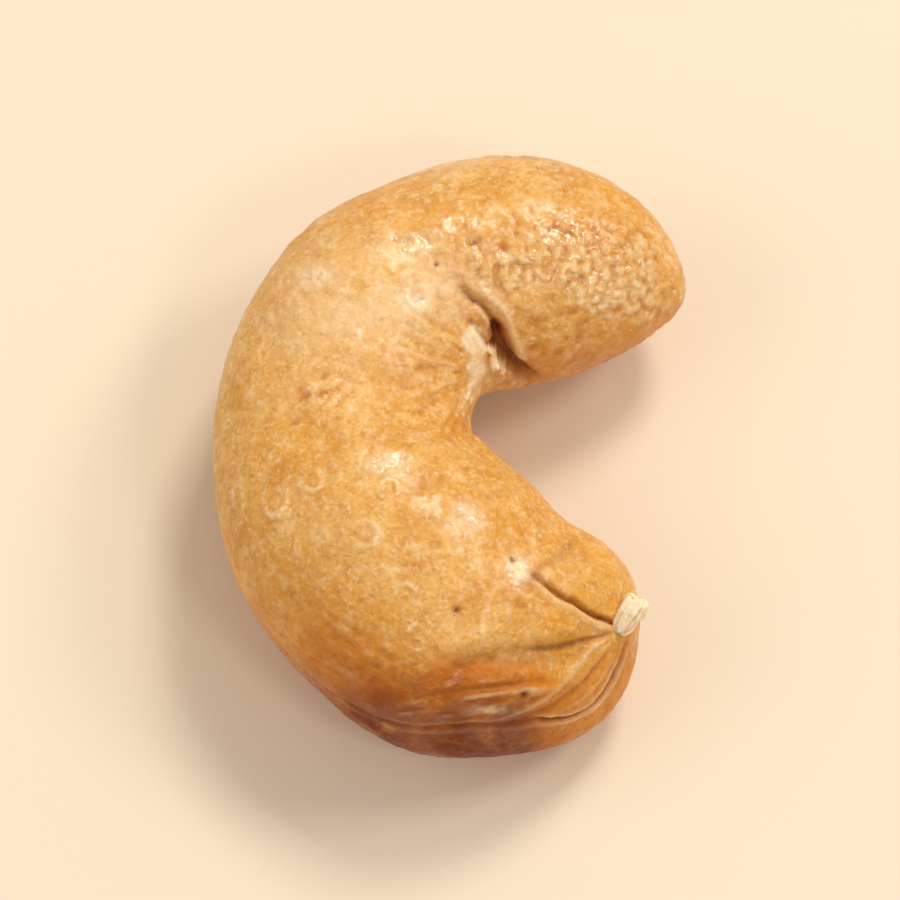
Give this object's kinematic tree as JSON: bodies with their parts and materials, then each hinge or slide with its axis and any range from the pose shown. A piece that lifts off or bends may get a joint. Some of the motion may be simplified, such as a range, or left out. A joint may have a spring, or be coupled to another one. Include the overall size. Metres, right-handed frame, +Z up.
{
  "type": "roasted cashew nut",
  "caption": "Whole roasted cashew kernel, curled round an open notch, with a blunt end, a pointed end split round the germ tip, and a seam groove along its outer edge.",
  "frame": {"origin": "on the surface that the kernel rests on, under the centre of its bounding box", "axes": "+Z up, out of the broad side that faces up; +Y from the pointed end to the blunt end; +X out of the open side of the curl"},
  "size_m": [0.019, 0.0248, 0.0104],
  "materials": {
    "roasted_kernel": "satin"
  },
  "bodies": {
    "root": {"cashew_kernel": "roasted_kernel"}
  },
  "joints": []
}
